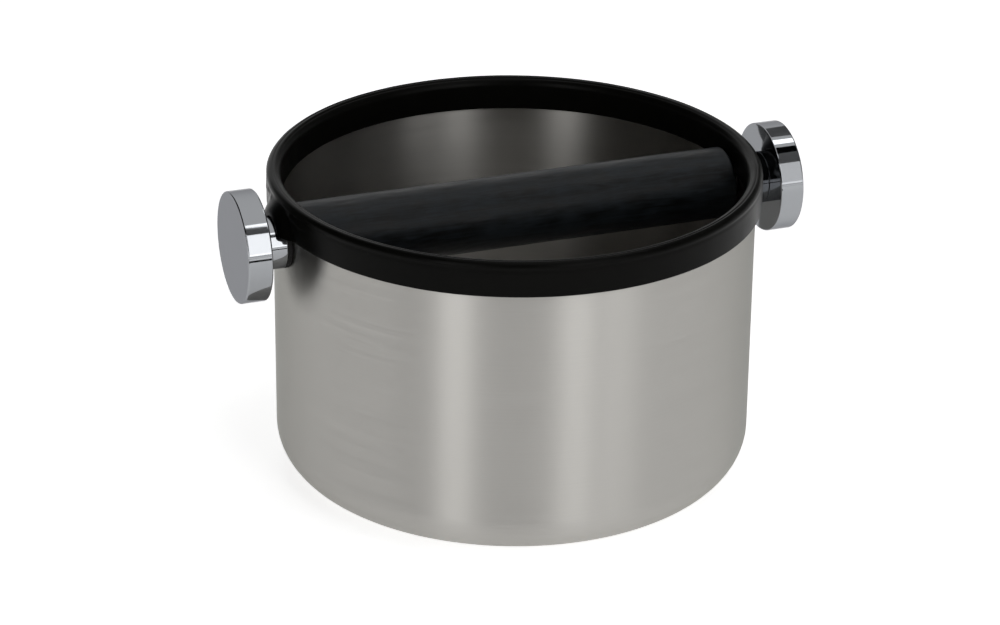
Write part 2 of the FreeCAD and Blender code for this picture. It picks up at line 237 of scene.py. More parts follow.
@dataclass(frozen=True)
class ChromePlate:
    """Turned brass, polished and chrome plated.

    The eye gets a cold mirror, with a trace of handling in its gloss.
    """

    name: str = "polished_chrome_plate"
    colour: str = "#939598"
    edge_tint: str = "#BEBEC0"
    roughness: float = 0.045
    smear_size: float = 9 * MM
    smear_roughness: float = 0.03

    def material(self) -> bpy.types.Material:
        """Build the chrome.

        Returns:
            The material.
        """
        material, tree = blank_material(self.name)
        here = add_node(tree, "TexCoord").outputs["Object"]
        smears = add_node(tree, "TexNoise", inputs={
            "Vector": here, "Scale": 1 / self.smear_size, "Detail": 3.0}).outputs["Fac"]
        rough = add_node(tree, "MapRange", inputs={
            "Value": smears, "From Min": 0.45, "From Max": 0.75, "To Min": self.roughness,
            "To Max": self.roughness + self.smear_roughness}).outputs[0]
        shader = add_node(tree, "BsdfPrincipled", inputs={
            "Base Color": linear(self.colour), "Metallic": 1.0, "Roughness": rough,
            "Specular Tint": linear(self.edge_tint)})
        add_node(tree, "OutputMaterial", inputs={"Surface": shader.outputs[0]})
        return material


@dataclass(frozen=True)
class ZincedSteel:
    """Machined mild steel with bright zinc.

    The eye gets a greyer and duller metal than the chrome, with fine turning marks.
    """

    name: str = "zinc_plated_steel"
    colour: str = "#8F8E8B"
    stain: str = "#77767A"
    roughness: float = 0.34
    # A lathe leaves marks of about 0.1 mm; they are drawn 0.3 mm wide so that they show.
    mark_width: float = 0.3 * MM
    mark_length: float = 12 * MM
    mark_depth: float = 0.03 * MM
    turned_radius: float = 5 * MM

    def material(self) -> bpy.types.Material:
        """Build the plated steel.

        Returns:
            The material.
        """
        material, tree = blank_material(self.name)
        where = round_coordinates(tree, Axis.X, self.turned_radius, self.mark_length,
                                  self.mark_width)
        marks = add_node(tree, "TexNoise", inputs={
            "Vector": where, "Scale": 1.0, "Detail": 2.0}).outputs["Fac"]
        colour = add_node(tree, "Mix", {"data_type": "RGBA"}, {
            0: marks, 6: linear(self.stain), 7: linear(self.colour)}).outputs[2]
        relief = add_node(tree, "Bump", inputs={
            "Strength": 0.2, "Distance": self.mark_depth, "Height": marks}).outputs[0]
        shader = add_node(tree, "BsdfPrincipled", inputs={
            "Base Color": colour, "Metallic": 1.0, "Roughness": self.roughness, "Normal": relief})
        add_node(tree, "OutputMaterial", inputs={"Surface": shader.outputs[0]})
        return material


@dataclass(frozen=True)
class MouldedRubber:
    """Carbon-black rubber out of a mould.

    The eye gets near black with a low sheen, a cloudy bloom and a fine dull grain.
    """

    name: str
    colour: str
    bloom: str
    roughness: float
    sheen_level: float
    roughness_swing: float = 0.04
    # The mould's own grain is about 0.1 mm; it is drawn 0.35 mm wide so that it shows.
    grain: float = 0.35 * MM
    grain_depth: float = 0.05 * MM
    cloud: float = 12 * MM

    def material(self) -> bpy.types.Material:
        """Build the rubber.

        Returns:
            The material.
        """
        material, tree = blank_material(self.name)
        here = add_node(tree, "TexCoord").outputs["Object"]
        grain = add_node(tree, "TexNoise", inputs={
            "Vector": here, "Scale": 1 / self.grain, "Detail": 3.0,
            "Roughness": 0.6}).outputs["Fac"]
        cloud = add_node(tree, "TexNoise", inputs={
            "Vector": here, "Scale": 1 / self.cloud, "Detail": 4.0}).outputs["Fac"]
        colour = add_node(tree, "Mix", {"data_type": "RGBA"}, {
            0: cloud, 6: linear(self.colour), 7: linear(self.bloom)}).outputs[2]
        rough = add_node(tree, "MapRange", inputs={
            "Value": cloud, "From Min": 0.3, "From Max": 0.7,
            "To Min": self.roughness - self.roughness_swing,
            "To Max": self.roughness + self.roughness_swing}).outputs[0]
        relief = add_node(tree, "Bump", inputs={
            "Strength": 0.25, "Distance": self.grain_depth, "Height": grain}).outputs[0]
        shader = add_node(tree, "BsdfPrincipled", inputs={
            "Base Color": colour, "Roughness": rough, "Normal": relief, "IOR": 1.5,
            "Specular IOR Level": self.sheen_level})
        add_node(tree, "OutputMaterial", inputs={"Surface": shader.outputs[0]})
        return material


@dataclass(frozen=True)
class WornSleeveRubber:
    """Extruded rubber tube, rubbed lengthwise by use.

    The eye gets a matt black with bluish grey streaks, gathered in patches.
    """

    name: str = "extruded_matt_rubber"
    colour: str = "#0C0D0E"
    rubbed: str = "#1F2428"
    roughness: float = 0.46
    roughness_swing: float = 0.07
    sheen_level: float = 0.20
    streak_width: float = 1.7 * MM
    streak_length: float = 15 * MM
    streak_depth: float = 0.12 * MM
    patch: float = 9 * MM
    patch_share: float = 0.6
    least_worn: float = 0.62
    most_worn: float = 0.98

    def material(self) -> bpy.types.Material:
        """Build the rubber.

        Returns:
            The material.
        """
        material, tree = blank_material(self.name)
        here = add_node(tree, "TexCoord").outputs["Object"]
        stretch = (1 / self.streak_length, 1 / self.streak_width, 1 / self.streak_width)
        drawn = add_node(tree, "VectorMath", {"operation": "MULTIPLY"},
                         {0: here, 1: stretch}).outputs[0]
        streaks = add_node(tree, "TexNoise", inputs={
            "Vector": drawn, "Scale": 1.0, "Detail": 5.0, "Roughness": 0.55,
            "Distortion": 1.1}).outputs["Fac"]
        patches = add_node(tree, "TexNoise", inputs={
            "Vector": here, "Scale": 1 / self.patch, "Detail": 3.0}).outputs["Fac"]
        both = add_node(tree, "Math", {"operation": "MULTIPLY_ADD"},
                        {0: patches, 1: self.patch_share, 2: streaks}).outputs[0]
        worn = add_node(tree, "MapRange", inputs={
            "Value": both, "From Min": self.least_worn, "From Max": self.most_worn}).outputs[0]
        rough = add_node(tree, "MapRange", inputs={
            "Value": both, "From Min": self.least_worn, "From Max": self.most_worn,
            "To Min": self.roughness - self.roughness_swing,
            "To Max": self.roughness + self.roughness_swing}).outputs[0]
        colour = add_node(tree, "Mix", {"data_type": "RGBA"}, {
            0: worn, 6: linear(self.colour), 7: linear(self.rubbed)}).outputs[2]
        relief = add_node(tree, "Bump", inputs={
            "Strength": 0.3, "Distance": self.streak_depth, "Height": streaks}).outputs[0]
        shader = add_node(tree, "BsdfPrincipled", inputs={
            "Base Color": colour, "Roughness": rough, "Normal": relief, "IOR": 1.5,
            "Specular IOR Level": self.sheen_level})
        add_node(tree, "OutputMaterial", inputs={"Surface": shader.outputs[0]})
        return material


RING_RUBBER = MouldedRubber("moulded_ring_rubber", colour="#060605", bloom="#0A0A08",
                            roughness=0.32, sheen_level=0.05)
WASHER_RUBBER = MouldedRubber("moulded_washer_rubber", colour="#101010", bloom="#1A1A19",
                              roughness=0.55, sheen_level=0.2)


@dataclass
class Finishes:
    """The finish of each of the record's material slots."""

    made: dict[Slot, bpy.types.Material] = field(default_factory=dict)

    def build(self) -> None:
        """Build every finish once."""
        self.made = {
            Slot.BRUSHED_STEEL: BrushedSteel().material(),
            Slot.CHROME: ChromePlate().material(),
            Slot.PLAIN_STEEL: ZincedSteel().material(),
            Slot.RING_RUBBER: RING_RUBBER.material(),
            Slot.WASHER_RUBBER: WASHER_RUBBER.material(),
            Slot.SLEEVE_RUBBER: WornSleeveRubber().material(),
        }

    def dress(self, piece: bpy.types.Object, slot: Slot) -> None:
        """Give a piece the finish of a slot, on every face.

        Args:
            piece: a mesh object.
            slot: the slot whose finish it takes.
        """
        piece.data.materials.clear()
        piece.data.materials.append(self.made[slot])


Point = tuple[float, float]
Corner = tuple[float, float, float]


def rounded_profile(corners: list[Corner], arc_steps: int = 6, hold: float = 0.06,
                    longest: tuple[float, ...] | None = None) -> list[Point]:
    """Round the corners of a closed profile, and hold each flat straight beside its rounds.

    Args:
        corners: two coordinates and the round of each corner, in millimetres.
        arc_steps: faces in each round.
        hold: distance from a round's end to the point that holds the flat beside it.
        longest: for each corner, the longest face from its round up to the next one's.

    Returns:
        The points of the closed profile, in order.
    """
    points: list[Vector] = []
    limits: list[float] = []
    for i, (first, second, radius) in enumerate(corners):
        limit = longest[i] if longest else math.inf
        corner = Vector((first, second))
        if radius <= 0:
            points.append(corner)
            limits.append(limit)
            continue
        before = (Vector(corners[i - 1][:2]) - corner).normalized()
        after = (Vector(corners[(i + 1) % len(corners)][:2]) - corner).normalized()
        half = before.angle(after) / 2
        reach = radius / math.tan(half)
        centre = corner + (before + after).normalized() * radius / math.sin(half)
        start, end = corner + before * reach - centre, corner + after * reach - centre
        arc = [centre + start.slerp(end, k / arc_steps).normalized() * radius
               for k in range(arc_steps + 1)]
        points += [corner + before * (reach + hold), *arc, corner + after * (reach + hold)]
        limits += [limit] * (len(arc) + 2)
    divided: list[Point] = []
    for i, point in enumerate(points):
        run = points[(i + 1) % len(points)] - point
        parts = max(1, math.ceil(run.length / limits[i]))
        divided += [tuple(point + run * (k / parts)) for k in range(parts)]
    return divided


def skin(name: str, rows: list[list[Vector]], closed_rows: bool = True,
         sharp_angle: float = SHARP_ANGLE) -> bpy.types.Object:
    """Join rows of points, in metres, into one smooth-shaded closed piece.

    Args:
        name: the piece's name.
        rows: rows of equally many points; each row is a closed loop.
        closed_rows: whether the last row joins the first.
        sharp_angle: edges that turn by more than this, in degrees, stay sharp.

    Returns:
        The new object.
    """
    width = len(rows[0])
    points = [point for row in rows for point in row]
    last = len(rows) if closed_rows else len(rows) - 1
    faces = []
    for i in range(last):
        here, there = i * width, (i + 1) % len(rows) * width
        faces += [(here + j, here + (j + 1) % width, there + (j + 1) % width, there + j)
                  for j in range(width)]
    mesh = bpy.data.meshes.new(name)
    mesh.from_pydata(points, [], faces)
    work = bmesh.new()
    work.from_mesh(mesh)
    bmesh.ops.remove_doubles(work, verts=work.verts, dist=WELD_DISTANCE)
    bmesh.ops.recalc_face_normals(work, faces=work.faces)
    work.to_mesh(mesh)
    work.free()
    mesh.shade_smooth()
    mesh.set_sharp_from_angle(angle=math.radians(sharp_angle))
    return add_object(name, mesh)


def turned(name: str, profile: list[Point], axis: Axis, side: Side = Side.RIGHT,
           steps: int = PLAIN_STEPS) -> bpy.types.Object:
    """Turn a closed profile round the bowl's axis or the bar's.

    Args:
        name: the piece's name.
        profile: distance along the axis and radius of each point, in millimetres.
        axis: Z for the bowl's axis, X for the bar's.
        side: end of the bar that the distances run to, along X.
        steps: faces round the piece.

    Returns:
        The new object.
    """
    angles = [math.tau * i / steps for i in range(steps)]
    level = bar_level()
    rows = []
    for along, radius in profile:
        far, reach = along * MM, radius * MM
        if axis is Axis.X:
            rows.append([Vector((side.value * far, reach * math.cos(a),
                                 level + reach * math.sin(a))) for a in angles])
        else:
            rows.append([Vector((reach * math.cos(a), reach * math.sin(a), far))
                         for a in angles])
    return skin(name, rows)


def stand_in(piece: bpy.types.Object, body: str, node: str) -> bpy.types.Object:
    """Let a piece ride on a body and stand for a CAD node.

    Args:
        piece: the piece, in place.
        body: the CAD body that carries it.
        node: the CAD node that it stands for.

    Returns:
        The piece.
    """
    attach(piece, body)
    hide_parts(node)
    return piece


def span(node: str) -> tuple[float, float, float]:
    """Measure a round CAD node that lies along the bar.

    Args:
        node: the node's name.

    Returns:
        Its near end, far end and radius, in millimetres.
    """
    low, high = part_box(node)
    near, far = sorted((abs(low.x), abs(high.x)))
    return near / MM, far / MM, (high.z - low.z) / 2 / MM


def bar_level() -> float:
    """Return the height of the bar's axis, in metres."""
    low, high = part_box("bar_sleeve")
    return (low.z + high.z) / 2


def clamp(value: float) -> float:
    """Keep a value from 0 to 1."""
    return min(1.0, max(0.0, value))


def smooth(value: float) -> float:
    """Ease a value from 0 to 1 without corners."""
    value = clamp(value)
    return value * value * (3 - 2 * value)


@dataclass
class Bowl:
    """Drawn steel bowl with a pressed base and a hole in its wall for each stud."""

    finishes: Finishes
    wall: float = 0.9
    corner_round: float = 15.0
    panel_radius: float = 48.0
    panel_slope: float = 5.0
    panel_lift: float = 1.5
    panel_round: float = 2.0
    rim_break: float = 0.15
    hole_radius: float = 3.3
    drill_spare: float = 5.0
    arc_steps: int = 14
    hole_steps: int = 64
    steps: int = 384

    def build(self) -> bpy.types.Object:
        """Build, bore and dress the bowl.

        Returns:
            The bowl.
        """
        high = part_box("bowl")[1]
        outside, rim = high.y / MM, high.z / MM
        inside, wall = outside - self.wall, self.wall
        foot = self.panel_radius + self.panel_slope
        profile = rounded_profile([
            (self.panel_lift, 0, 0), (self.panel_lift, self.panel_radius, self.panel_round),
            (0, foot, self.panel_round), (0, outside, self.corner_round),
            (rim, outside, self.rim_break), (rim, inside, self.rim_break),
            (wall, inside, self.corner_round - wall), (wall, foot, self.panel_round),
            (self.panel_lift + wall, self.panel_radius, self.panel_round),
            (self.panel_lift + wall, 0, 0)], self.arc_steps)
        bowl = turned("steel_bowl", profile, Axis.Z, steps=self.steps)
        self.bore(bowl, outside)
        self.finishes.dress(bowl, Slot.BRUSHED_STEEL)
        return stand_in(bowl, "bowl", "bowl")

    def bore(self, bowl: bpy.types.Object, outside: float) -> None:
        """Cut the two stud holes.

        Args:
            bowl: the solid bowl.
            outside: its outside radius, in millimetres.
        """
        reach = outside + self.drill_spare
        drill = turned("drill", [(-reach, 0), (-reach, self.hole_radius),
                                 (reach, self.hole_radius), (reach, 0)],
                       Axis.X, steps=self.hole_steps)
        cut = bowl.modifiers.new("stud_holes", "BOOLEAN")
        cut.operation, cut.solver, cut.object = "DIFFERENCE", "EXACT", drill
        ready = bowl.evaluated_get(bpy.context.evaluated_depsgraph_get())
        mesh = bpy.data.meshes.new_from_object(ready)
        bowl.modifiers.clear()
        bowl.data = mesh
        mesh.shade_smooth()
        mesh.set_sharp_from_angle(angle=math.radians(SHARP_ANGLE))
        bpy.data.objects.remove(drill)


@dataclass(frozen=True)
class Groove:
    """A fine groove that runs round the ring's top, in millimetres."""

    radius: float
    width: float
    depth: float


@dataclass(frozen=True)
class Fold:
    """A small fold of the stretched rubber beside a hood, in millimetres."""

    y: float
    z: float
    length: float
    width: float
    lift: float


@dataclass
class RimRing:
    """Moulded rubber ring over the rim, stretched into a short hood over each collar.

    The channel takes the bowl's rim, the lip hangs inside the bowl and the skirt outside it.
    """

    finishes: Finishes
    inner_radius: float = 79.3
    channel_in: float = 81.5
    channel_out: float = 82.6
    channel_top: float = 105.1
    lip_edge: float = 98.1
    channel_round: float = 0.1
    outer_round: float = 2.1
    inner_round: float = 3.1
    edge_round: float = 0.5
    lip_flat: float = 0.5
    arc_steps: int = 10
    hold: float = 0.05
    # One limit for each corner of the section: only what shows is divided finely.
    face_limits: tuple[float, ...] = (1.0, 1.5, 1.5, 1.5, 0.5, 0.3, 0.22, 0.22, 2.0)
    coarse_step: float = 1.1
    fine_step: float = 0.25
    fine_reach: float = 13.0
    # A point this far from the channel, or this near the inner face, is on the ring's outside.
    skin_depth: float = 1.0
    # The grooves in the top fade towards the knobs, down to the least share.
    grooves: tuple[Groove, ...] = (Groove(80.95, 0.26, 0.24), Groove(82.35, 0.28, 0.24))
    groove_least: float = 0.25
    # A soft crease runs round the outer face, which points this near to it belong to.
    face_slack: float = 0.05
    crease_drop: float = 2.7
    crease_width: float = 0.7
    crease_depth: float = 0.12
    # The slack rubber stands in slow waves with a faster ripple on them.
    wave: float = 0.10
    wave_rate: float = 3.1
    wave_seed: float = 0.3
    ripple_share: float = 0.5
    ripple_rate: float = 11.0
    ripple_seed: float = 4.3
    # The skirt, with the round inside it, arches over the collar.
    notch_radius: float = 9.35
    skirt_slack: float = 0.15
    # The hood has its full length inside the mouth and fades out at its own radius.
    mouth_radius: float = 10.1
    hood_radius: float = 16.6
    fold_reach: float = 30.0
    folds: tuple[Fold, ...] = (
        Fold(-17.5, 105.2, 3.2, 0.9, 0.40), Fold(-12.2, 106.3, 1.6, 0.8, 0.30),
        Fold(13.5, 105.8, 2.4, 0.9, 0.35), Fold(18.5, 104.6, 2.6, 1.1, 0.30),
        Fold(-9.6, 103.0, 1.0, 1.4, -0.35), Fold(6.5, 106.0, 1.6, 0.7, -0.25))
    sharp_angle: float = 70.0
    outer_radius: float = field(init=False)
    top: float = field(init=False)
    skirt_edge: float = field(init=False)
    hood_end: float = field(init=False)
    level: float = field(init=False)

    def __post_init__(self) -> None:
        """Take the ring's outer sizes from its CAD node."""
        low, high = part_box("rim_ring")
        self.outer_radius, self.top = high.y / MM, high.z / MM
        self.skirt_edge, self.hood_end = low.z / MM, high.x / MM
        self.level = bar_level() / MM

    def build(self) -> bpy.types.Object:
        """Build and dress the ring.

        Returns:
            The ring.
        """
        section = self.section()
        rows = [[self.place(angle, radius, height) for radius, height in section]
                for angle in self.angles()]
        ring = skin("rubber_rim_ring", rows, sharp_angle=self.sharp_angle)
        self.finishes.dress(ring, Slot.RING_RUBBER)
        return stand_in(ring, "rim_ring", "rim_ring")

    def section(self) -> list[Point]:
        """Draw the ring's section, before the hoods are drawn out.

        Returns:
            Radius and height of each point.
        """
        return rounded_profile([
            (self.inner_radius, self.lip_edge, self.edge_round),
            (self.channel_in, self.lip_edge, self.channel_round),
            (self.channel_in, self.channel_top, self.channel_round),
            (self.channel_out, self.channel_top, self.channel_round),
            (self.channel_out, self.skirt_edge, self.channel_round),
            (self.outer_radius, self.skirt_edge, self.edge_round),
            (self.outer_radius, self.top, self.outer_round),
            (self.inner_radius, self.top, self.inner_round),
            (self.inner_radius, self.top - self.inner_round - self.lip_flat, 0)],
            self.arc_steps, self.hold, self.face_limits)

    def angles(self) -> list[float]:
        """Space the sections round the ring, close together at the hoods.

        Returns:
            The sections' azimuths, in radians.
        """
        found, angle, slack = [], 0.0, 1e-6
        while angle < 360 - slack:
            found.append(math.radians(angle))
            from_hood = min(angle % 180, 180 - angle % 180)
            near = from_hood < self.fine_reach - slack
            angle += self.fine_step if near else self.coarse_step
        return found

    def place(self, angle: float, radius: float, height: float) -> Vector:
        """Put one point of the section in place, with the grooves, crease, waves and hood.

        Args:
            angle: its azimuth.
            radius: its radius in the plain section, in millimetres.
            height: its height in the plain section, in millimetres.

        Returns:
            The point, in metres.
        """
        side_y = self.outer_radius * math.sin(angle)
        outward = (radius - self.channel_out) / (self.outer_radius - self.channel_out)
        on_top = height > self.channel_top + self.skin_depth
        on_lip = radius < self.inner_radius + self.skin_depth
        wavy = 1.0 if on_top or on_lip else smooth(outward)
        reach = radius + wavy * self.unevenness(angle)
        if on_top:
            height -= self.groove_depth(angle, radius)
        if radius > self.outer_radius - self.face_slack:
            reach -= self.crease_at(height)
        if radius > self.channel_out - self.skirt_slack and height < self.channel_top:
            height = self.lift_over_collar(side_y, height)
        x, y = reach * math.cos(angle), reach * math.sin(angle)
        pull = clamp(outward) * self.hood_share(y, height)
        x += math.copysign(pull * (self.hood_end - abs(x)), x)
        if radius > self.channel_out + self.skin_depth and abs(side_y) < self.fold_reach:
            x += math.copysign(self.fold_lift(y, height), x)
        return Vector((x, y, height)) * MM

    def unevenness(self, angle: float) -> float:
        """Work out how far the slack rubber stands out at an azimuth.

        Args:
            angle: the azimuth, in radians.

        Returns:
            The distance, in millimetres.
        """
        c, s = math.cos(angle), math.sin(angle)
        slow = noise.noise(Vector((self.wave_rate * c, self.wave_rate * s, self.wave_seed)))
        fast = noise.noise(Vector((self.ripple_rate * c, self.ripple_rate * s, self.ripple_seed)))
        return self.wave * (slow + self.ripple_share * fast)

    def groove_depth(self, angle: float, radius: float) -> float:
        """Work out how deep the top's grooves are at a point; they fade towards the knobs.

        Args:
            angle: the point's azimuth.
            radius: its radius in the plain section.

        Returns:
            The depth, in millimetres.
        """
        share = self.groove_least + (1 - self.groove_least) * math.sin(angle) ** 2
        return share * sum(groove.depth * math.exp(-((radius - groove.radius) / groove.width) ** 2)
                           for groove in self.grooves)

    def crease_at(self, height: float) -> float:
        """Return how far the moulded crease cuts into the ring's outside at a height."""
        drop = (height - self.top + self.crease_drop) / self.crease_width
        return self.crease_depth * math.exp(-drop * drop)

    def lift_over_collar(self, side_y: float, height: float) -> float:
        """Raise the skirt's edge over the collar, keeping the skirt's upper end where it is.

        Args:
            side_y: the point's distance from the bar's line.
            height: its height in the plain section.

        Returns:
            Its new height, in millimetres.
        """
        if abs(side_y) >= self.notch_radius:
            return height
        arch = self.level + math.sqrt(self.notch_radius ** 2 - side_y ** 2)
        edge = max(self.skirt_edge, arch)
        share = (height - self.skirt_edge) / (self.channel_top - self.skirt_edge)
        return edge + share * (self.channel_top - edge)

    def hood_share(self, y: float, height: float) -> float:
        """Return how much of the hood's reach the rubber has at a point, from 0 to 1."""
        away = math.hypot(y, height - self.level)
        return smooth((self.hood_radius - away) / (self.hood_radius - self.mouth_radius))

    def fold_lift(self, y: float, height: float) -> float:
        """Work out how far the small folds beside the hoods lift a point.

        Args:
            y: the point's distance from the bar's line.
            height: its height.

        Returns:
            The distance, in millimetres.
        """
        return sum(fold.lift * math.exp(-((y - fold.y) / fold.length) ** 2
                                        - ((height - fold.z) / fold.width) ** 2)
                   for fold in self.folds)


@dataclass
class Bar:
    """The knocking bar: rubber sleeve, steel tube, a tapped plug and a washer at each end."""

    finishes: Finishes
    sleeve_bore: float = 9.05
    bore_round: float = 0.2
    bevel: float = 1.0
    bevel_round: float = 0.35
    sleeve_hold: float = 0.05
    row_step: float = 0.6
    steps: int = 160
    dent: float = 0.30
    dent_length: float = 16.0
    dent_width: float = 5.0
    dent_least: float = 0.12
    dent_margin: float = 0.5
    nick_share: float = 0.35
    nick_rate: float = 3.1
    nick_shift: tuple[float, float, float] = (5.0, 2.0, 9.0)
    tube_wall: float = 2.5
    tube_round: float = 0.2
    tap_radius: float = 3.0
    nose_radius: float = 5.2
    plug_bevel: float = 0.5
    plug_round: float = 0.1
    plug_hold: float = 0.03
    washer_bore: float = 3.2
    washer_bore_round: float = 0.15
    washer_round: float = 0.3

    def build(self) -> list[bpy.types.Object]:
        """Build and dress the bar's pieces.

        Returns:
            The pieces.
        """
        pieces = [self.build_sleeve(), self.build_tube()]
        for side in Side:
            pieces += [self.build_plug(side), self.build_washer(side)]
        return pieces

    def build_sleeve(self) -> bpy.types.Object:
        """Build the rubber sleeve.

        Returns:
            The sleeve.
        """
        end, radius = span("bar_sleeve")[1:]
        corners = [(-end, self.sleeve_bore, self.bore_round),
                   (end, self.sleeve_bore, self.bore_round),
                   (end, radius - self.bevel, self.bevel_round),
                   (end - self.bevel, radius, self.bevel_round),
                   (-end + self.bevel, radius, self.bevel_round),
                   (-end, radius - self.bevel, self.bevel_round)]
        profile = rounded_profile(corners, 4, self.sleeve_hold, (self.row_step,) * len(corners))
        sleeve = turned("rubber_bar_sleeve", profile, Axis.X, steps=self.steps)
        self.knock(sleeve, radius)
        self.finishes.dress(sleeve, Slot.SLEEVE_RUBBER)
        return stand_in(sleeve, "bar", "bar_sleeve")

    def knock(self, sleeve: bpy.types.Object, radius: float) -> None:
        """Dent the sleeve's outside with long shallow dents and small nicks.

        Args:
            sleeve: the sleeve.
            radius: its outside radius, in millimetres.
        """
        level = bar_level()
        for vertex in sleeve.data.vertices:
            across = Vector((0, vertex.co.y, vertex.co.z - level))
            if across.length / MM < radius - self.bevel - self.dent_margin:
                continue
            where = Vector((vertex.co.x / MM / self.dent_length,
                            vertex.co.y / MM / self.dent_width,
                            vertex.co.z / MM / self.dent_width))
            dents = max(0.0, noise.noise(where) - self.dent_least)
            nicks = max(0.0, noise.noise(where * self.nick_rate + Vector(self.nick_shift)))
            deep = dents + self.nick_share * nicks
            vertex.co -= across.normalized() * (self.dent * deep * MM)

    def build_tube(self) -> bpy.types.Object:
        """Build the steel tube.

        Returns:
            The tube.
        """
        end, radius = span("bar_tube")[1:]
        bore = radius - self.tube_wall
        profile = rounded_profile([
            (-end, bore, self.tube_round), (end, bore, self.tube_round),
            (end, radius, self.tube_round), (-end, radius, self.tube_round)], 3)
        tube = turned("steel_bar_tube", profile, Axis.X)
        self.finishes.dress(tube, Slot.PLAIN_STEEL)
        return stand_in(tube, "bar", "bar_tube")

    def build_plug(self, side: Side) -> bpy.types.Object:
        """Build one tapped end plug.

        Args:
            side: the end of the bar.

        Returns:
            The plug.
        """
        node = f"bar_end_plug_{side.word}"
        near, far, radius = span(node)
        shoulder = span("bar_sleeve")[1]
        bevel, edge = self.plug_bevel, self.plug_round
        profile = rounded_profile([
            (near, self.tap_radius, edge), (far, self.tap_radius, edge),
            (far, self.nose_radius - bevel, edge), (far - bevel, self.nose_radius, edge),
            (shoulder, self.nose_radius, edge), (shoulder, radius, edge),
            (near + bevel, radius, edge), (near, radius - bevel, edge)], 3, self.plug_hold)
        plug = turned(f"steel_plug_{side.word}", profile, Axis.X, side)
        self.finishes.dress(plug, Slot.PLAIN_STEEL)
        return stand_in(plug, "bar", node)

    def build_washer(self, side: Side) -> bpy.types.Object:
        """Build one flat steel washer.

        Args:
            side: the end of the bar.

        Returns:
            The washer.
        """
        node = f"inner_washer_{side.word}"
        near, far, radius = span(node)
        profile = rounded_profile([
            (near, self.washer_bore, self.washer_bore_round),
            (far, self.washer_bore, self.washer_bore_round),
            (far, radius, self.washer_round), (near, radius, self.washer_round)], 4)
        washer = turned(f"steel_washer_{side.word}", profile, Axis.X, side)
        self.finishes.dress(washer, Slot.PLAIN_STEEL)
        return stand_in(washer, "bar", node)


@dataclass
class Knob:
    """One knob: chromed disc and collar on a threaded stud."""

    finishes: Finishes
    side: Side
    disc_round: float = 0.55
    disc_hold: float = 0.08
    disc_steps: int = 256
    stud_hole: float = 3.0
    hole_depth: float = 6.5
    collar_bevel: float = 0.3
    collar_bore: float = 3.2
    bore_round: float = 0.1
    collar_steps: int = 192
    pitch: float = 1.0
    thread_depth: float = 0.5
    thread_angle: float = 50.0
    flat_share: float = 0.15
    thread_row: float = 0.1
    thread_steps: int = 60

    def build(self) -> list[bpy.types.Object]:
        """Build and dress the knob's pieces."""
        return [self.build_disc(), self.build_collar(), self.build_stud()]

    def build_disc(self) -> bpy.types.Object:
        """Build the disc, with the blind hole that holds the stud.

        Returns:
            The disc.
        """
        node = f"knob_disc_{self.side.word}"
        near, far, radius = span(node)
        bottom = near + self.hole_depth
        profile = rounded_profile([
            (bottom, 0, 0), (bottom, self.stud_hole, 0), (near, self.stud_hole, 0),
            (near, radius, self.disc_round), (far, radius, self.disc_round), (far, 0, 0)],
            8, self.disc_hold)
        disc = turned(f"chrome_disc_{self.side.word}", profile, Axis.X, self.side, self.disc_steps)
        self.finishes.dress(disc, Slot.CHROME)
        return stand_in(disc, f"knob_{self.side.word}", node)

    def build_collar(self) -> bpy.types.Object:
        """Build the collar between the disc and the rubber washer.

        Returns:
            The collar.
        """
        node = f"knob_collar_{self.side.word}"
        near, far, radius = span(node)
        profile = rounded_profile([
            (near, self.collar_bore, self.bore_round), (far, self.collar_bore, self.bore_round),
            (far, radius, self.collar_bevel), (near, radius, self.collar_bevel)])
        collar = turned(f"chrome_collar_{self.side.word}", profile, Axis.X, self.side,
                        self.collar_steps)
        self.finishes.dress(collar, Slot.CHROME)
        return stand_in(collar, f"knob_{self.side.word}", node)

    def build_stud(self) -> bpy.types.Object:
        """Build the stud with its thread running round it.

        Returns:
            The stud.
        """
        node = f"knob_stud_{self.side.word}"
        near, far, crest = span(node)
        level = bar_level()
        rows = []
        count = round((far - near) / self.thread_row)
        for i in range(-1, count + 2):
            along = near + (far - near) * min(count, max(0, i)) / count
            capped = i in (-1, count + 1)
            row = []
            for j in range(self.thread_steps):
                turn = math.tau * j / self.thread_steps
                radius = 0.0 if capped else min(
                    self.thread_radius(along / self.pitch - j / self.thread_steps, crest),
                    crest - self.thread_depth + min(along - near, far - along))
                row.append(Vector((self.side.value * along * MM, radius * MM * math.cos(turn),
                                   level + radius * MM * math.sin(turn))))
            rows.append(row)
        stud = skin(f"threaded_stud_{self.side.word}", rows, closed_rows=False,
                    sharp_angle=self.thread_angle)
        self.finishes.dress(stud, Slot.PLAIN_STEEL)
        return stand_in(stud, f"knob_{self.side.word}", node)

    def thread_radius(self, turns: float, crest: float) -> float:
        """Work out the thread's radius.

        Args:
            turns: turns of the thread from its start.
            crest: radius of its crest, in millimetres.

        Returns:
            The radius, in millimetres.
        """
        off = abs(turns % 1.0 - 0.5) * 2
        rise = (off - self.flat_share) / (1 - 2 * self.flat_share)
        return crest - self.thread_depth * (1 - clamp(rise))


@dataclass
class Washers:
    """The rubber washers under the collars, shaped to the wall: shown as the CAD has them."""

    finishes: Finishes

    def dress(self) -> None:
        """Give both washers their rubber."""
        for side in Side:
            name = f"outer_washer_{side.word}"
            self.finishes.dress(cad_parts[name], Slot.WASHER_RUBBER)
            LOG.info("dressed %s", name)


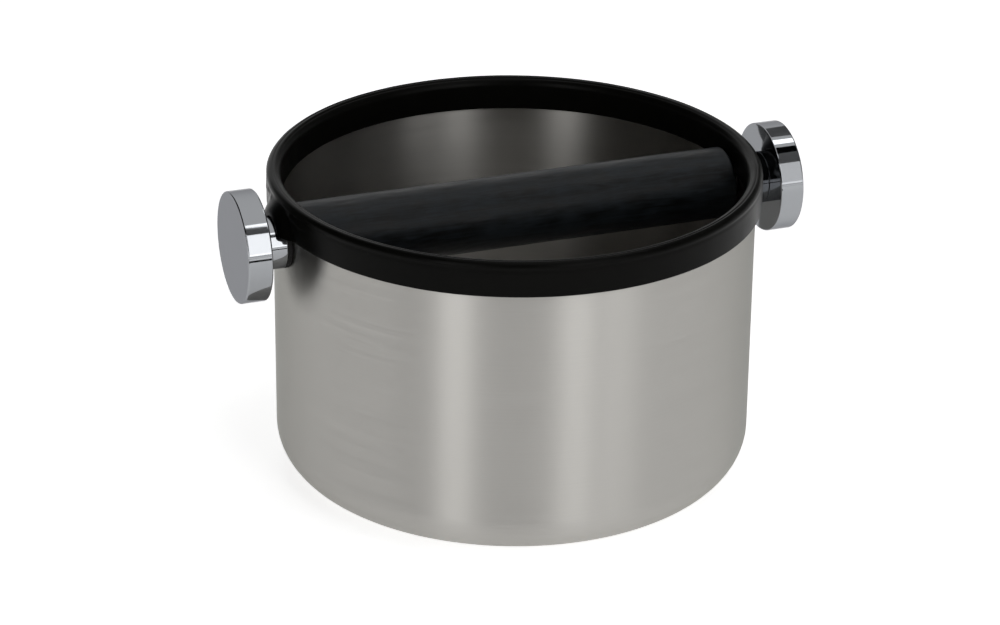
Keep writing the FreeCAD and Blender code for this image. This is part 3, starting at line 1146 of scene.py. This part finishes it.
@dataclass(frozen=True)
class Wall:
    """An unlit curved card round the object, which the camera doesn't see.

    Its start and end are azimuths in degrees: 0 is in front, 90 on the right. Its other sizes
    are in metres. A flag shows in bright metal only and shades nothing.
    """

    name: str
    start: float
    end: float
    colour: str
    radius: float = 2.4
    bottom: float = 0.3
    top: float = 4.0
    is_flag: bool = False
    steps: int = 24

    def build(self) -> None:
        """Build and paint the card."""
        azimuths = [math.radians(self.start + (self.end - self.start) * i / self.steps)
                    for i in range(self.steps + 1)]
        points = [(self.radius * math.sin(a), -self.radius * math.cos(a), level)
                  for a in azimuths for level in (self.bottom, self.top)]
        faces = [(2 * i, 2 * i + 1, 2 * i + 3, 2 * i + 2) for i in range(self.steps)]
        mesh = bpy.data.meshes.new(self.name)
        mesh.from_pydata(points, [], faces)
        card = add_object(self.name, mesh)
        material, tree = blank_material(self.name + "_paint")
        paint = add_node(tree, "BsdfDiffuse", inputs={"Color": linear(self.colour)})
        add_node(tree, "OutputMaterial", inputs={"Surface": paint.outputs[0]})
        mesh.materials.append(material)
        card.visible_camera = False
        card.visible_shadow = card.visible_diffuse = not self.is_flag


@dataclass(frozen=True)
class Lamp:
    """A soft rectangular lamp, its place and sizes in metres.

    Its radiance is how bright its face is, where 1 is white.
    """

    name: str
    place: tuple[float, float, float]
    target: tuple[float, float, float]
    width: float
    height: float
    radiance: float

    def build(self) -> None:
        """Hang the lamp and turn it to its target."""
        data = bpy.data.lights.new(self.name, "AREA")
        data.shape = "RECTANGLE"
        data.size, data.size_y = self.width, self.height
        data.energy = self.radiance * math.pi * self.width * self.height
        lamp = add_object(self.name, data)
        lamp.location = self.place
        towards = Vector(self.target) - Vector(self.place)
        lamp.rotation_euler = towards.to_track_quat("-Z", "Y").to_euler()


DARK, GREY, BLACK = "#303030", "#BBBBBB", "#141414"
BOWL_MIDDLE, RING_LEVEL = (0, 0, 0.06), (0, 0, 0.1)


@dataclass
class Studio:
    """Pale floor, white surround, unlit walls, lamps and the camera."""

    floor_size: float = 12.0
    floor_colour: str = "#F2F2F2"
    floor_glow: float = 0.66
    white: str = "#FFFFFF"
    # The walls give the steel its greys. The black flags draw the fine dark lines that bright
    # metal needs: the low one in the left knob, the high one in the right.
    walls: tuple[Wall, ...] = (
        Wall("tall_dark_wall", -165, -40, DARK, top=9.0),
        Wall("dark_wall", -40, 12, DARK),
        Wall("grey_wall", 12, 150, GREY),
        Wall("low_flag", -70, 18, BLACK, radius=0.50, bottom=0.0, top=0.035, is_flag=True),
        Wall("high_flag", 40, 75, BLACK, radius=0.72, bottom=1.15, top=1.60, is_flag=True))
    # The strips give the bowl its two upright bands, the high lamps light the knobs' rims from
    # above, and the fill lifts the right side.
    lamps: tuple[Lamp, ...] = (
        Lamp("strip_left", (-0.93, -0.90, 0.55), BOWL_MIDDLE, 0.34, 1.0, 3.05),
        Lamp("strip_right", (0.16, -1.20, 0.60), BOWL_MIDDLE, 0.33, 1.0, 2.8),
        Lamp("high_front", (0.41, -0.76, 1.42), RING_LEVEL, 0.22, 0.34, 2.6),
        Lamp("high_right", (0.56, 0.12, 1.50), RING_LEVEL, 0.26, 0.34, 3.4),
        Lamp("fill_right", (0.64, -1.18, 0.60), BOWL_MIDDLE, 0.40, 1.0, 1.2))
    camera_azimuth: float = -20.375
    camera_elevation: float = 24.83
    camera_roll: float = 0.641
    camera_target: tuple[float, float, float] = (-4.196, 1.558, 53.381)
    camera_distance: float = 1231.0
    lens: float = 127.6
    sensor_width: float = 36.0

    def build(self) -> None:
        """Build the surround, the floor, the walls, the lamps and the camera."""
        self.build_world()
        self.build_floor()
        for wall in self.walls:
            wall.build()
        for lamp in self.lamps:
            lamp.build()
        self.build_camera()

    def build_world(self) -> None:
        """A plain white surround."""
        world = bpy.data.worlds.new("surround")
        bpy.context.scene.world = world
        world.use_nodes = True
        tree = world.node_tree
        tree.nodes.clear()
        sky = add_node(tree, "Background", inputs={"Color": linear(self.white), "Strength": 1.0})
        add_node(tree, "OutputWorld", inputs={"Surface": sky.outputs[0]})

    def build_floor(self) -> None:
        """A pale board that takes the object's shadow and shows white to eye and metal alike."""
        half = self.floor_size / 2
        mesh = bpy.data.meshes.new("floor")
        mesh.from_pydata([(-half, -half, 0), (half, -half, 0), (half, half, 0), (-half, half, 0)],
                         [], [(0, 1, 2, 3)])
        floor = add_object("floor", mesh)
        material, tree = blank_material("pale_board")
        path = add_node(tree, "LightPath").outputs
        seen = add_node(tree, "Math", {"operation": "MAXIMUM"},
                        {0: path["Is Camera Ray"], 1: path["Is Glossy Ray"]}).outputs[0]
        shown = add_node(tree, "Math", {"operation": "MAXIMUM"},
                         {0: seen, 1: path["Is Transmission Ray"]}).outputs[0]
        strength = add_node(tree, "Math", {"operation": "MULTIPLY"},
                            {0: shown, 1: self.floor_glow}).outputs[0]
        board = add_node(tree, "BsdfDiffuse", inputs={"Color": linear(self.floor_colour)})
        glow = add_node(tree, "Emission", inputs={"Color": linear(self.white),
                                                  "Strength": strength})
        both = add_node(tree, "AddShader", inputs={0: board.outputs[0], 1: glow.outputs[0]})
        add_node(tree, "OutputMaterial", inputs={"Surface": both.outputs[0]})
        mesh.materials.append(material)

    def build_camera(self) -> None:
        """The camera: a long lens from the front left, a little above."""
        azimuth, elevation, roll = map(math.radians, (
            self.camera_azimuth, self.camera_elevation, self.camera_roll))
        target = Vector(self.camera_target) * MM
        distance = self.camera_distance * MM
        back = Vector((math.sin(azimuth) * math.cos(elevation),
                       -math.cos(azimuth) * math.cos(elevation), math.sin(elevation)))
        right = Vector((math.cos(azimuth), math.sin(azimuth), 0))
        up = back.cross(right)
        across = right * math.cos(roll) + up * math.sin(roll)
        upright = up * math.cos(roll) - right * math.sin(roll)
        data = bpy.data.cameras.new("camera")
        data.lens, data.sensor_width = self.lens, self.sensor_width
        camera = add_object("camera", data)
        turn = Matrix((across, upright, back)).transposed().to_4x4()
        camera.matrix_world = Matrix.Translation(target + back * distance) @ turn
        bpy.context.scene.camera = camera


def main() -> None:
    """Build the finishes, the pieces and the studio, in that order."""
    logging.basicConfig(level=logging.INFO, format="%(name)s: %(message)s")
    bpy.context.scene.view_settings.view_transform = "Standard"
    finishes = Finishes()
    finishes.build()
    pieces = [Bowl(finishes).build(), RimRing(finishes).build()]
    pieces += Bar(finishes).build()
    for side in Side:
        pieces += Knob(finishes, side).build()
    Washers(finishes).dress()
    for piece in pieces:
        LOG.info("built %s, %d points", piece.name, len(piece.data.vertices))
    Studio().build()


if __name__ == "__main__":
    main()
